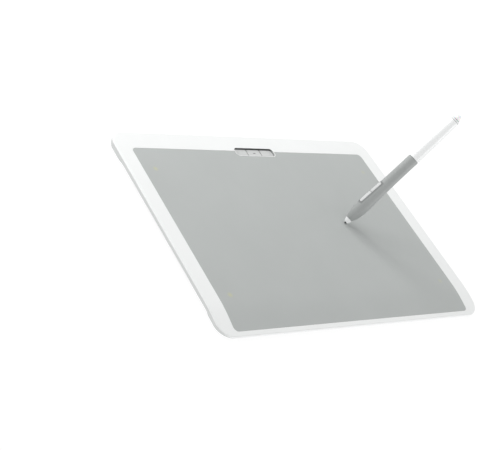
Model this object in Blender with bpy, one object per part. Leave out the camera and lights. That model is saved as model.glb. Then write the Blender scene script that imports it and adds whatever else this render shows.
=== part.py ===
"""Pen drawing tablet with its pen, as an assembly of separate pieces.

Frame: the origin is the centre of the tablet's outline on the desk plane that
its feet stand on.  +X runs to the right, +Y to the rear edge (the edge with the
express keys and the port), +Z up out of the drawing surface.

Dimensions are in millimetres here and are scaled to metres when meshes are made.
"""

import math

import bmesh
import bpy
from mathutils import Matrix, Vector

MM = 0.001

# ---------------------------------------------------------------- dimensions
HALF_W = 160.6          # half width of the outline
HALF_D = 117.15         # half depth of the outline
CORNER_R = 15.5         # outer corner radius
TOP_Z = 8.0             # top of the bezel above the desk
BELLY_Z = 0.5           # flat underside of the back cover, the feet stand proud
OPEN_X = 144.5          # half width of the opening for the drawing sheet
OPEN_REAR = 96.85       # rear edge of that opening
OPEN_FRONT = -112.33    # front edge of that opening
OPEN_R = 4.5            # corner radius of that opening

BEND_START = -80.5      # the palm rest starts to fall away here
BEND_LEN = 20.5         # length of the bend
BEND_SLOPE = 0.156      # slope after the bend

SHEET_T = 0.5           # drawing sheet
SHEET_DROP = 0.1        # sheet below the bezel's top
SHEET_GAP = 0.2         # gap round the sheet
LEDGE_Z = 7.2           # ledge that carries the sheet
LEDGE_W = 5.0           # width of that ledge
WALL = 1.5              # wall of the top frame
EDGE_R = 1.2            # width of the rounded top edge
EDGE_H = 1.1            # height of the rounded top edge
SEAM = 4.2              # height of the seam between frame and cover
GAP = 0.3               # gap kept between touching pieces

FILLET_W = 10.9         # width of the cover's large edge fillet
EDGE_POWER = 3.6        # how boxy that fillet is, 2 being an ellipse
LAND = 0.6              # upright land of the cover under the seam
RIM_INSET = 0.6         # cover edge inside the frame edge
FLOOR_Z = 1.7           # inside floor of the cover
GROOVE_REAR = (89.0, 65.0)    # the finger groove opens between these
GROOVE_FRONT = (-85.0, -92.0)  # and closes between these
GROOVE_W = (13.4, 8.4)        # its width at the rear and at the front

KEY_X = 24.2            # half length of the key well
KEY_Y0, KEY_Y1 = 90.75, 100.95
KEY_R = 3.5
KEY_RIM = 0.7
KEY_SPLIT = 8.35        # the slits between the keys
KEY_SLIT = 0.5          # their width
KEY_MID = 95.85         # the line of the key centres
KEY_TOP = 6.5
KEY_TRAVEL = 0.4

LIGHT_X, LIGHT_REAR, LIGHT_FRONT = 131.2, 70.7, -76.8

FOOT_POS = {
    "foot_rear_left": (-135.5, 102.0, 14.0, 14.0),
    "foot_rear_right": (135.5, 102.0, 14.0, 14.0),
    "foot_front_left": (-135.5, -96.0, 14.0, 14.0),
    "foot_front_right": (135.5, -96.0, 14.0, 14.0),
    "foot_rear_middle": (0.0, 106.3, 14.0, 9.0),
}
FOOT_R = 3.0
FOOT_T = 0.9
FOOT_RECESS_Z = 1.2

SCREWS = {"case_screw_left": (-135.5, 102.0), "case_screw_right": (135.5, 102.0)}

PORT_Z = 3.6            # centre height of the port
PORT_W, PORT_H, PORT_L = 8.94, 3.26, 7.5
PORT_Y0 = 106.3

PEN_TIP = (55.54, 0.65)    # where the nib meets the drawing sheet
PEN_DIR = (0.5447, 0.1475, 0.8256)
PEN_FACING = (-0.768, 0.484, 0.420)  # the side the buttons are on
PEN_TIP_GAP = 0.27      # of the nib's centre line, so the leaning tip clears by 0.1
PEN_SEGMENTS = 28

# ------------------------------------------------------------------- helpers
for old in list(bpy.data.objects):
    bpy.data.objects.remove(old, do_unlink=True)


def material(name, color, roughness, metallic=0.0, **extra):
    mat = bpy.data.materials.new(name)
    mat.use_nodes = True
    shader = mat.node_tree.nodes["Principled BSDF"]
    shader.inputs["Base Color"].default_value = (*color, 1.0)
    shader.inputs["Roughness"].default_value = roughness
    shader.inputs["Metallic"].default_value = metallic
    for key, value in extra.items():
        shader.inputs[key].default_value = value
    mat.diffuse_color = (*color, 1.0)
    return mat


WHITE = ((0.86, 0.87, 0.87), 0.35, 0.0)
GREY = ((0.33, 0.345, 0.34), 0.55, 0.0)
SILVER = ((0.62, 0.63, 0.63), 0.32, 1.0)
KEYGREY = ((0.52, 0.53, 0.53), 0.40, 0.0)
RUBBER = ((0.46, 0.50, 0.49), 0.80, 0.0)
PCB = ((0.05, 0.16, 0.09), 0.50, 0.0)
STEEL = ((0.56, 0.57, 0.58), 0.30, 1.0)
BLACK = ((0.03, 0.03, 0.03), 0.50, 0.0)
AMBER = ((0.80, 0.66, 0.30), 0.30, 0.0)
FOIL = ((0.55, 0.56, 0.58), 0.45, 1.0)
PENGREY = ((0.24, 0.25, 0.25), 0.50, 0.0)


def shaded(mesh, angle=32.0):
    mesh.shade_smooth()
    mesh.set_sharp_from_angle(angle=math.radians(angle))


def make(name, points, faces, look, smooth=True):
    """An object from points in millimetres."""
    mesh = bpy.data.meshes.new(name)
    mesh.from_pydata([(x * MM, y * MM, z * MM) for x, y, z in points], [], faces)
    bm = bmesh.new()
    bm.from_mesh(mesh)
    bmesh.ops.remove_doubles(bm, verts=bm.verts, dist=1e-7)
    bmesh.ops.recalc_face_normals(bm, faces=bm.faces)
    bm.to_mesh(mesh)
    bm.free()
    if smooth:
        shaded(mesh)
    obj = bpy.data.objects.new(name, mesh)
    bpy.context.scene.collection.objects.link(obj)
    if look:
        mesh.materials.append(material(name + "_mat", *look))
    return obj


def cutter(obj):
    obj.hide_render = True
    obj.display_type = "WIRE"
    return obj


def boolean(obj, other, operation="DIFFERENCE"):
    mod = obj.modifiers.new(other.name, "BOOLEAN")
    mod.operation = operation
    mod.solver = "EXACT"
    mod.object = other
    return mod


def apply_modifiers(obj):
    graph = bpy.context.evaluated_depsgraph_get()
    mesh = bpy.data.meshes.new_from_object(obj.evaluated_get(graph))
    obj.modifiers.clear()
    obj.data = mesh
    return mesh


def rounded(x0, x1, y0, y1, r, n=5):
    """Outline of a rounded rectangle, anticlockwise."""
    out = []
    for cx, cy, start in (
        (x1 - r, y1 - r, 0.0),
        (x0 + r, y1 - r, 90.0),
        (x0 + r, y0 + r, 180.0),
        (x1 - r, y0 + r, 270.0),
    ):
        for i in range(n + 1):
            a = math.radians(start + 90.0 * i / n)
            out.append((cx + r * math.cos(a), cy + r * math.sin(a)))
    return out


def circle(cx, cy, r, n=20):
    return [
        (cx + r * math.cos(2 * math.pi * i / n), cy + r * math.sin(2 * math.pi * i / n))
        for i in range(n)
    ]


def prism_data(outline, z0, z1):
    n = len(outline)
    points = [(x, y, z0) for x, y in outline] + [(x, y, z1) for x, y in outline]
    faces = [tuple(range(n - 1, -1, -1)), tuple(range(n, 2 * n))]
    faces += [(i, (i + 1) % n, n + (i + 1) % n, n + i) for i in range(n)]
    return points, faces


def prism(name, outline, z0, z1, look, smooth=True):
    return make(name, *prism_data(outline, z0, z1), look, smooth)


def stacked(name, rings, look, smooth=True):
    """A closed solid through rings of equal length, capped at both ends."""
    n = len(rings[0])
    points = [p for ring in rings for p in ring]
    faces = [tuple(range(n - 1, -1, -1))]
    for k in range(len(rings) - 1):
        a, b = k * n, (k + 1) * n
        faces += [(a + i, a + (i + 1) % n, b + (i + 1) % n, b + i) for i in range(n)]
    faces.append(tuple(range((len(rings) - 1) * n, len(rings) * n)))
    return make(name, points, faces, look, smooth)


def turned(name, profile, look, segments=PEN_SEGMENTS, matrix=None, ring=False):
    """A turned piece about local Z.  profile lists (radius, height); with ring the
    profile is a closed outline off the axis."""
    points, faces, rows = [], [], []
    for r, z in profile:
        if r <= 1e-6:
            rows.append([len(points)])
            points.append((0.0, 0.0, z))
        else:
            rows.append(list(range(len(points), len(points) + segments)))
            for i in range(segments):
                a = 2 * math.pi * i / segments
                points.append((r * math.cos(a), r * math.sin(a), z))
    pairs = list(zip(rows, rows[1:]))
    if ring:
        pairs.append((rows[-1], rows[0]))
    for a, b in pairs:
        for i in range(segments):
            j = (i + 1) % segments
            if len(a) == 1 and len(b) == 1:
                continue
            if len(a) == 1:
                faces.append((a[0], b[i], b[j]))
            elif len(b) == 1:
                faces.append((a[i], b[0], a[j]))
            else:
                faces.append((a[i], b[i], b[j], a[j]))
    return make(name, points, faces, look)


# ----------------------------------------------------- heights of the tablet
def drop(y):
    """How far the top surface has fallen at y."""
    s = BEND_START - y
    if s <= 0:
        return 0.0
    if s < BEND_LEN:
        return BEND_SLOPE * s * s / (2 * BEND_LEN)
    return BEND_SLOPE * (s - BEND_LEN / 2)


def top(y, below=0.0):
    return TOP_Z - below - drop(y)


def squeezed(z, y):
    """A height in the outer wall, squeezed towards the belly where the top falls."""
    return BELLY_Z + (z - BELLY_Z) * (top(y) - BELLY_Z) / (TOP_Z - BELLY_Z)


def above_floor(z, y, lowest=2.1):
    return max(z - drop(y), lowest)


BEND_CUTS = [BEND_START - BEND_LEN * i / 5 for i in range(6)]

# Stations along the sides, the same for every loop round the tablet.
SIDE_Y = sorted(
    {-93.5, -92.0, -90.5, -88.5, -87.0, -86.0, -85.0}
    | set(BEND_CUTS)
    | {-40.0, 0.0, 40.0, 60.0}
    | {65.0 + 3.0 * i for i in range(9)}
)
END_X = [-110.0, -60.0, -24.0, 24.0, 60.0, 110.0]
CORNER_N = 7


def loop(dx, dy_rear, dy_front, r, height, side=None):
    """Points round a rounded rectangle inset from the outline.  height(x, y) gives
    z; side(y) adds an inset to the two long sides' stations."""
    x1, y1, y0 = HALF_W - dx, HALF_D - dy_rear, -HALF_D + dy_front
    extra = side or (lambda y: 0.0)
    out = [(x1 - extra(y), y) for y in SIDE_Y]
    for cx, cy, start in ((x1 - r, y1 - r, 0.0), (-x1 + r, y1 - r, 90.0)):
        if start == 90.0:
            out += [(x, y1) for x in reversed(END_X)]
        for i in range(CORNER_N + 1):
            a = math.radians(start + 90.0 * i / CORNER_N)
            out.append((cx + r * math.cos(a), cy + r * math.sin(a)))
    out += [(-x1 + extra(y), y) for y in reversed(SIDE_Y)]
    for cx, cy, start in ((-x1 + r, y0 + r, 180.0), (x1 - r, y0 + r, 270.0)):
        if start == 270.0:
            out += [(x, y0) for x in END_X]
        for i in range(CORNER_N + 1):
            a = math.radians(start + 90.0 * i / CORNER_N)
            out.append((cx + r * math.cos(a), cy + r * math.sin(a)))
    return [(x, y, height(x, y)) for x, y in out]


def even(d, height, side=None):
    return loop(d, d, d, CORNER_R - d, height, side)


# ------------------------------------------------------------------ top frame
def frame_rings():
    rings = []
    steps = 5
    for i in range(steps + 1):
        a = math.radians(90.0 * i / steps)
        inset = EDGE_R * (1 - math.sin(a))
        z = TOP_Z - EDGE_H * (1 - math.cos(a))
        rings.append(even(inset, lambda x, y, z=z: squeezed(z, y)))
    rings.append(even(0.08, lambda x, y: squeezed(SEAM + 0.65, y)))
    rings.append(even(0.4, lambda x, y: squeezed(SEAM, y) + GAP))
    rings.append(even(2.3, lambda x, y: squeezed(SEAM, y) + GAP))
    rings.append(even(2.9, lambda x, y: above_floor(TOP_Z - WALL, y, squeezed(SEAM, y) + GAP + 0.05)))
    # Under the bezel to the wall that drops to the ledge.
    side, rear, front = HALF_W - OPEN_X, HALF_D - OPEN_REAR, OPEN_FRONT + HALF_D
    rings.append(loop(side - 2.0, rear - 2.0, front - 1.6, OPEN_R + 2.0, lambda x, y: above_floor(TOP_Z - WALL, y)))
    rings.append(loop(side - 1.4, rear - 1.4, front - 1.2, OPEN_R + 1.4, lambda x, y: above_floor(5.8, y)))
    inner = [side + LEDGE_W, rear + LEDGE_W, front + LEDGE_W, 2.0]
    rings.append(loop(*inner, lambda x, y: above_floor(5.8, y)))
    rings.append(loop(*inner, lambda x, y: LEDGE_Z - drop(y)))
    rings.append(loop(side, rear, front, OPEN_R, lambda x, y: LEDGE_Z - drop(y)))
    rings.append(loop(side, rear, front, OPEN_R, lambda x, y: top(y)))
    return rings


def ring_solid(name, rings, look):
    n = len(rings[0])
    points = [p for ring in rings for p in ring]
    faces = []
    for k in range(len(rings)):
        a, b = k * n, ((k + 1) % len(rings)) * n
        faces += [(a + i, a + (i + 1) % n, b + (i + 1) % n, b + i) for i in range(n)]
    return make(name, points, faces, look)


top_frame = ring_solid("top_frame", frame_rings(), WHITE)
tab = cutter(
    prism(
        "key_surround",
        rounded(-KEY_X - KEY_RIM, KEY_X + KEY_RIM, KEY_Y0 - KEY_RIM, KEY_Y1 + 1.6, KEY_R + KEY_RIM),
        5.0,
        TOP_Z,
        None,
    )
)
boolean(top_frame, tab, "UNION")
for label, (sx, sy) in SCREWS.items():
    boss = cutter(prism(label + "_post", circle(sx, sy, 3.0), 3.5, 7.0, None))
    boolean(top_frame, boss, "UNION")
well = cutter(prism("key_well", rounded(-KEY_X, KEY_X, KEY_Y0, KEY_Y1, KEY_R), 4.0, 9.0, None))
boolean(top_frame, well)


def port_outline(w, h, n=6):
    r = h / 2 - 0.02
    return rounded(-w / 2, w / 2, -h / 2, h / 2, r, n)


def along_y(name, outline, y0, y1, z, look):
    """A prism along Y of an outline drawn in X and Z."""
    n = len(outline)
    points = [(x, y0, z + h) for x, h in outline] + [(x, y1, z + h) for x, h in outline]
    faces = [tuple(range(n)), tuple(range(2 * n - 1, n - 1, -1))]
    faces += [(i, n + i, n + (i + 1) % n, (i + 1) % n) for i in range(n)]
    return make(name, points, faces, look)


port_cut = cutter(along_y("port_opening", port_outline(PORT_W + 1.0, PORT_H + 1.0), 100.0, 125.0, PORT_Z, None))
boolean(top_frame, port_cut)
for label, (sx, sy) in SCREWS.items():
    hole = cutter(prism(label + "_thread", circle(sx, sy, 1.15, 16), 3.0, 6.2, None))
    boolean(top_frame, hole)

# ----------------------------------------------------------------- back cover
def smooth(t):
    t = min(max(t, 0.0), 1.0)
    return t * t * (3 - 2 * t)


def groove(y):
    """1 where the finger groove is fully open, 0 where the edge is a plain fillet."""
    return smooth((GROOVE_REAR[0] - y) / (GROOVE_REAR[0] - GROOVE_REAR[1])) * smooth(
        (y - GROOVE_FRONT[1]) / (GROOVE_FRONT[0] - GROOVE_FRONT[1])
    )


def groove_width(y):
    t = (GROOVE_REAR[1] - y) / (GROOVE_REAR[1] - GROOVE_FRONT[0])
    t = min(max(t, 0.0), 1.0)
    return GROOVE_W[0] + (GROOVE_W[1] - GROOVE_W[0]) * t


def on_side(x, y):
    return abs(x) > HALF_W - CORNER_R and SIDE_Y[0] - 0.01 <= y <= SIDE_Y[-1] + 0.01


def edge_height(y):
    return squeezed(SEAM, y)


def land(y):
    return LAND * (edge_height(y) - BELLY_Z) / (SEAM - BELLY_Z)


def cover_ring(angle):
    """A ring of the cover's edge.  angle 0 is under the seam, 90 on the belly."""
    a = math.radians(angle)
    inward = 1 - max(math.cos(a), 0.0) ** (2 / EDGE_POWER)
    down = math.sin(a) ** (2 / EDGE_POWER)

    def side(y):
        w = groove(y)
        wide = FILLET_W + w * (groove_width(y) - FILLET_W)
        fillet = wide * inward
        cove = wide * math.sin(a)
        base = FILLET_W * inward
        return (1 - w) * fillet + w * cove - base

    def height(x, y):
        lift = edge_height(y) - land(y) - BELLY_Z
        w = groove(y) if on_side(x, y) else 0.0
        return BELLY_Z + lift * ((1 - w) * (1 - down) + w * math.cos(a))

    d = RIM_INSET + FILLET_W * inward
    return loop(d, d, d, CORNER_R - d, height, side)


def pocket_side(y):
    return groove(y) * (groove_width(y) - FILLET_W)


POCKET = (RIM_INSET + FILLET_W + 2.6, 7.0, 2.6, 4.0)


def cover_rings():
    rings = [cover_ring(angle) for angle in (90, 75, 60, 45, 30, 15, 0)]
    rings.append(even(RIM_INSET, lambda x, y: edge_height(y)))
    rings.append(loop(*POCKET, lambda x, y: edge_height(y), pocket_side))
    deeper = tuple(d + 0.5 for d in POCKET[:3]) + (POCKET[3],)
    rings.append(loop(*deeper, lambda x, y: FLOOR_Z, pocket_side))
    return rings


back_cover = stacked("back_cover", cover_rings(), SILVER)
for label, (sx, sy) in SCREWS.items():
    boss = cutter(prism(label + "_boss", circle(sx, sy, 4.0), 1.5, 3.2, None))
    boolean(back_cover, boss, "UNION")
for label, (fx, fy, w, d) in FOOT_POS.items():
    recess = cutter(
        prism(
            label + "_recess",
            rounded(fx - w / 2 - GAP, fx + w / 2 + GAP, fy - d / 2 - GAP, fy + d / 2 + GAP, FOOT_R + GAP),
            -1.0,
            FOOT_RECESS_Z,
            None,
        )
    )
    boolean(back_cover, recess)
for label, (sx, sy) in SCREWS.items():
    boolean(back_cover, cutter(prism(label + "_counterbore", circle(sx, sy, 2.2), 0.0, 2.2, None)))
    boolean(back_cover, cutter(prism(label + "_hole", circle(sx, sy, 1.3, 16), 2.0, 4.0, None)))
boolean(back_cover, port_cut)

for label, (fx, fy, w, d) in FOOT_POS.items():
    outline = rounded(fx - w / 2, fx + w / 2, fy - d / 2, fy + d / 2, FOOT_R)
    inner = rounded(fx - w / 2 + 0.3, fx + w / 2 - 0.3, fy - d / 2 + 0.3, fy + d / 2 - 0.3, FOOT_R - 0.3)
    stacked(
        label,
        [
            [(x, y, 0.0) for x, y in inner],
            [(x, y, 0.3) for x, y in outline],
            [(x, y, FOOT_T) for x, y in outline],
        ],
        RUBBER,
    )

for label, (sx, sy) in SCREWS.items():
    profile = [(0.0, 1.3), (1.9, 1.3), (1.9, 1.7), (1.5, 1.9), (0.8, 1.9), (0.8, 5.7), (0.5, 5.9), (0.0, 5.9)]
    screw = turned(label, profile, STEEL, segments=16)
    screw.location = (sx * MM, sy * MM, 0.0)


# ------------------------------------------------ sheets that follow the bend
def bent(obj, upper, lower, split):
    """Cuts a flat sheet along the bend and lowers its points with the top."""
    bm = bmesh.new()
    bm.from_mesh(obj.data)
    for y in BEND_CUTS:
        bmesh.ops.bisect_plane(
            bm, geom=bm.verts[:] + bm.edges[:] + bm.faces[:], dist=1e-8, plane_co=(0, y * MM, 0), plane_no=(0, 1, 0)
        )
    for v in bm.verts:
        y, z = v.co.y / MM, v.co.z / MM
        v.co.z = (upper(z, y) if z > split else lower(z, y)) * MM
    bm.to_mesh(obj.data)
    bm.free()
    shaded(obj.data)


def falls(z, y):
    return z - drop(y)


def notched(x, y0, y1, r, nx, ny, n=5):
    """A rounded rectangle with a notch of half width nx in its rear edge, to ny."""
    out = []
    for cx, cy, start in ((x - r, y1 - r, 0.0), (-x + r, y1 - r, 90.0), (-x + r, y0 + r, 180.0), (x - r, y0 + r, 270.0)):
        if start == 90.0:
            q = min(KEY_R + KEY_RIM + SHEET_GAP, y1 - ny)
            out.append((nx, y1))
            for i in range(n + 1):
                a = math.radians(-90.0 * i / n)
                out.append((nx - q + q * math.cos(a), ny + q + q * math.sin(a)))
            for i in range(n + 1):
                a = math.radians(270.0 - 90.0 * i / n)
                out.append((-nx + q + q * math.cos(a), ny + q + q * math.sin(a)))
            out.append((-nx, y1))
        for i in range(n + 1):
            a = math.radians(start + 90.0 * i / n)
            out.append((cx + r * math.cos(a), cy + r * math.sin(a)))
    return out


sheet = prism(
    "drawing_surface",
    notched(
        OPEN_X - SHEET_GAP,
        OPEN_FRONT + SHEET_GAP,
        OPEN_REAR - SHEET_GAP,
        OPEN_R - SHEET_GAP,
        KEY_X + KEY_RIM + SHEET_GAP,
        KEY_Y0 - KEY_RIM - SHEET_GAP,
    ),
    TOP_Z - SHEET_DROP - SHEET_T,
    TOP_Z - SHEET_DROP,
    GREY,
)
bent(sheet, falls, falls, 7.65)

plate = prism(
    "support_plate",
    notched(
        OPEN_X - LEDGE_W - GAP,
        OPEN_FRONT + LEDGE_W + GAP,
        OPEN_REAR - LEDGE_W - GAP,
        2.0,
        KEY_X + KEY_RIM + 2 * GAP,
        KEY_Y0 - KEY_RIM - 2 * GAP,
    ),
    5.8,
    LEDGE_Z - 0.1,
    BLACK,
)
bent(plate, falls, above_floor, 6.5)

sensor = prism("sensor_board", rounded(-135.0, 135.0, -79.0, 77.0, 2.0, 3), 4.7, 5.5, PCB)
bent(sensor, falls, falls, 5.0)
shield = prism("shield_plate", rounded(-134.0, 134.0, -78.0, 76.0, 2.0, 3), 4.0, 4.4, FOIL)
bent(shield, falls, falls, 4.2)

for tag, lx, ly in (
    ("rear_left", -LIGHT_X, LIGHT_REAR),
    ("rear_right", LIGHT_X, LIGHT_REAR),
    ("front_left", -LIGHT_X, LIGHT_FRONT),
    ("front_right", LIGHT_X, LIGHT_FRONT),
):
    fall = drop(ly)
    hole = cutter(prism("light_hole_" + tag, circle(lx, ly, 1.7, 16), 4.6 - fall if fall else 5.6, 9.0, None))
    boolean(plate, hole)
    guide = turned(
        "corner_light_" + tag,
        [(0.0, 5.85), (1.3, 5.85), (1.3, 6.7), (0.9, 7.1), (0.0, 7.1)],
        AMBER,
        segments=16,
    )
    guide.location = (lx * MM, ly * MM, -fall * MM)

# ------------------------------------------------------------ electronics bay
board = prism("main_board", rounded(-30.0, 118.0, 79.0, 105.9, 1.5, 3), 2.3, 3.1, PCB)

DOME_X = (-16.2, 0.0, 16.2)
mat_base = prism("key_dome_mat", rounded(-25.0, 25.0, 91.0, 100.7, 1.5, 3), 3.4, 3.7, ((0.75, 0.76, 0.74), 0.6, 0.0))
for i, dx in enumerate(DOME_X):
    dome = turned(
        "dome_form_%d" % i,
        [(0.0, 3.5), (2.6, 3.5), (2.6, 3.7), (2.0, 4.2), (1.4, 4.5), (0.0, 4.5)],
        None,
        segments=16,
    )
    dome.location = (dx * MM, KEY_MID * MM, 0.0)
    boolean(mat_base, cutter(dome), "UNION")

stacked(
    "shield_can",
    [
        [(x, y, 3.4) for x, y in rounded(58.0, 84.0, 84.0, 102.0, 1.0, 3)],
        [(x, y, 4.8) for x, y in rounded(58.0, 84.0, 84.0, 102.0, 1.0, 3)],
        [(x, y, 5.0) for x, y in rounded(58.2, 83.8, 84.2, 101.8, 0.8, 3)],
    ],
    STEEL,
)
prism("radio_module", rounded(98.0, 114.0, 87.0, 99.0, 0.8, 3), 3.4, 4.6, BLACK)

stacked(
    "battery",
    [
        [(x, y, 2.1) for x, y in rounded(-119.2, -45.8, 80.8, 107.2, 2.2, 3)],
        [(x, y, 2.5) for x, y in rounded(-120.0, -45.0, 80.0, 108.0, 3.0, 3)],
        [(x, y, 4.8) for x, y in rounded(-120.0, -45.0, 80.0, 108.0, 3.0, 3)],
        [(x, y, 5.2) for x, y in rounded(-119.2, -45.8, 80.8, 107.2, 2.2, 3)],
    ],
    ((0.50, 0.52, 0.54), 0.35, 0.8),
)

# The flat lead from the sensor board down to the main board.
lead = [(77.3, 5.0), (78.4, 5.0), (80.6, 3.4), (86.0, 3.4), (86.0, 3.6), (80.8, 3.6), (78.6, 5.2), (77.3, 5.2)]
points = [(32.0, y, z) for y, z in lead] + [(52.0, y, z) for y, z in lead]
n = len(lead)
faces = [tuple(range(n)), tuple(range(2 * n - 1, n - 1, -1))]
faces += [(i, n + i, n + (i + 1) % n, (i + 1) % n) for i in range(n)]
make("sensor_ribbon", points, faces, ((0.70, 0.50, 0.18), 0.4, 0.0), smooth=False)

port = along_y("usb_receptacle", port_outline(PORT_W, PORT_H), PORT_Y0, PORT_Y0 + PORT_L, PORT_Z, STEEL)
boolean(
    port,
    cutter(
        along_y("port_mouth", port_outline(PORT_W - 0.6, PORT_H - 0.6), PORT_Y0 + 1.2, PORT_Y0 + PORT_L + 1, PORT_Z, None)
    ),
)
tongue = cutter(
    along_y("port_tongue", rounded(-3.3, 3.3, -0.35, 0.35, 0.2, 2), PORT_Y0 + 0.6, PORT_Y0 + PORT_L - 1.0, PORT_Z, None)
)
boolean(port, tongue, "UNION")

# --------------------------------------------------------------- express keys
def key_outline(x0, x1, inset, left, right):
    """A key's outline: outer ends follow the well's corners."""
    r_out, r_in = KEY_R - inset, 0.5
    y0, y1 = KEY_Y0 + inset, KEY_Y1 - inset
    out = []
    for cx, cy, start, r in (
        (x1, y1, 0.0, r_out if right else r_in),
        (x0, y1, 90.0, r_out if left else r_in),
        (x0, y0, 180.0, r_out if left else r_in),
        (x1, y0, 270.0, r_out if right else r_in),
    ):
        px = cx - r if cx == x1 else cx + r
        py = cy - r if cy == y1 else cy + r
        for i in range(5):
            a = math.radians(start + 90.0 * i / 4)
            out.append((px + r * math.cos(a), py + r * math.sin(a)))
    return out


def express_key(name, x0, x1, left, right, centre):
    rings = []
    for inset, z in ((0.3, KEY_TOP - 1.3), (0.3, KEY_TOP - 0.3), (0.42, KEY_TOP - 0.1), (0.75, KEY_TOP)):
        more = inset - 0.3
        outline = key_outline(x0 + more, x1 - more, inset, left, right)
        rings.append([(x, y, z) for x, y in outline])
    key = stacked(name, rings, KEYGREY)
    post = cutter(prism(name + "_post", circle(centre, KEY_MID, 1.4, 14), 4.95, 6.0, None))
    boolean(key, post, "UNION")
    # The origin sits on the key's travel axis.
    apply_modifiers(key)
    shaded(key.data)
    key.data.transform(Matrix.Translation((-centre * MM, -KEY_MID * MM, -KEY_TOP * MM)))
    key.location = (centre * MM, KEY_MID * MM, KEY_TOP * MM)
    return key


express_key("express_key_left", -KEY_X + 0.3, -KEY_SPLIT - KEY_SLIT / 2, True, False, DOME_X[0])
express_key("express_key_middle", -KEY_SPLIT + KEY_SLIT / 2, KEY_SPLIT - KEY_SLIT / 2, False, False, DOME_X[1])
express_key("express_key_right", KEY_SPLIT + KEY_SLIT / 2, KEY_X - 0.3, False, True, DOME_X[2])

# ------------------------------------------------------------------------ pen
axis = Vector(PEN_DIR).normalized()
tip = Vector((PEN_TIP[0], PEN_TIP[1], TOP_Z - SHEET_DROP + PEN_TIP_GAP)) * MM
# The buttons face to the left and up, across the pen's lean.
facing = Vector(PEN_FACING)
facing = (facing - facing.dot(axis) * axis).normalized()
across = axis.cross(facing)
basis = Matrix((facing, across, axis)).transposed().to_4x4()
pen_axis = bpy.data.objects.new("pen_axis", None)
pen_axis.matrix_world = Matrix.Translation(tip) @ basis
bpy.context.scene.collection.objects.link(pen_axis)


def on_pen(obj, height=0.0):
    """Puts a piece made along +Z from the nib tip on the pen's axis."""
    obj.data.transform(Matrix.Translation((0, 0, -height * MM)))
    obj.parent = pen_axis
    obj.location = (0, 0, height * MM)
    return obj


on_pen(
    turned(
        "pen_nib",
        [(0.0, 0.0), (0.32, 0.1), (0.58, 0.4), (0.74, 0.9), (0.85, 1.8), (0.85, 21.3), (0.6, 21.5), (0.0, 21.5)],
        BLACK,
        segments=16,
    )
)
on_pen(
    turned(
        "pen_nose_cone",
        [(1.25, 1.5), (1.95, 1.5), (2.2, 1.75), (3.0, 3.8), (3.35, 5.7), (2.2, 5.9), (2.2, 8.2), (1.25, 8.2)],
        WHITE,
        ring=True,
    )
)

GRIP = [
    (3.45, 6.0), (4.15, 7.5), (5.00, 9.6), (5.65, 12.0), (6.20, 15.0), (6.60, 18.5), (6.75, 22.5),
    (6.70, 27.0), (6.55, 32.0), (6.25, 43.0), (5.95, 53.0), (5.80, 64.0), (5.75, 88.9), (5.60, 89.2),
]
grip = turned(
    "pen_grip",
    GRIP + [(4.3, 89.2), (4.3, 22.6), (3.2, 22.0), (3.2, 9.4), (2.5, 8.7), (2.5, 6.0)],
    PENGREY,
    ring=True,
)


def slot(name, z0, z1, half, x0, x1):
    """A slot form across the pen wall: rounded ends in the Y-Z plane, along X."""
    outline = rounded(z0, z1, -half, half, half - 0.05, 5)
    m = len(outline)
    pts = [(x0, y, z) for z, y in outline] + [(x1, y, z) for z, y in outline]
    fcs = [tuple(range(m)), tuple(range(2 * m - 1, m - 1, -1))]
    fcs += [(i, m + i, m + (i + 1) % m, (i + 1) % m) for i in range(m)]
    return make(name, pts, fcs, None)


BUTTON_HALF = 2.3
BUTTON_Z = (24.8, 51.5)
BUTTON_SPLIT = 38.5
BUTTON_FALL = 0.028     # the switch follows the grip's taper
slot_cut = cutter(slot("button_slot", BUTTON_Z[0] - GAP, BUTTON_Z[1] + GAP, BUTTON_HALF + GAP, 2.9, 9.0))
boolean(grip, slot_cut)
apply_modifiers(grip)
shaded(grip.data)
on_pen(grip)


def button(name, z0, z1, front):
    """Half of the side switch, crowned across and rounded at its outer end."""
    r = BUTTON_HALF - 0.05
    rings = []
    for x, inset, fall in ((3.5, 0.0, 0.0), (6.3, 0.0, BUTTON_FALL), (6.66, 0.25, BUTTON_FALL), (6.88, 0.8, BUTTON_FALL)):
        half = BUTTON_HALF - inset
        a0, a1 = z0 + inset, z1 - inset
        rr = max(r - inset, 0.3)
        out = []
        for cz, cy, start, big in (
            (a1, half, 0.0, not front),
            (a0, half, 90.0, front),
            (a0, -half, 180.0, front),
            (a1, -half, 270.0, not front),
        ):
            q = rr if big else 0.3
            pz = cz - q if cz == a1 else cz + q
            py = cy - q if cy > 0 else cy + q
            for i in range(5):
                t = math.radians(start + 90.0 * i / 4)
                z = pz + q * math.cos(t)
                out.append((x - fall * (z - BUTTON_Z[0]), py + q * math.sin(t), z))
        rings.append(out)
    return stacked(name, rings, KEYGREY)


on_pen(button("pen_button_front", BUTTON_Z[0], BUTTON_SPLIT - 0.15, True), 31.6)
on_pen(button("pen_button_rear", BUTTON_SPLIT + 0.15, BUTTON_Z[1], False), 45.0)

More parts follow.
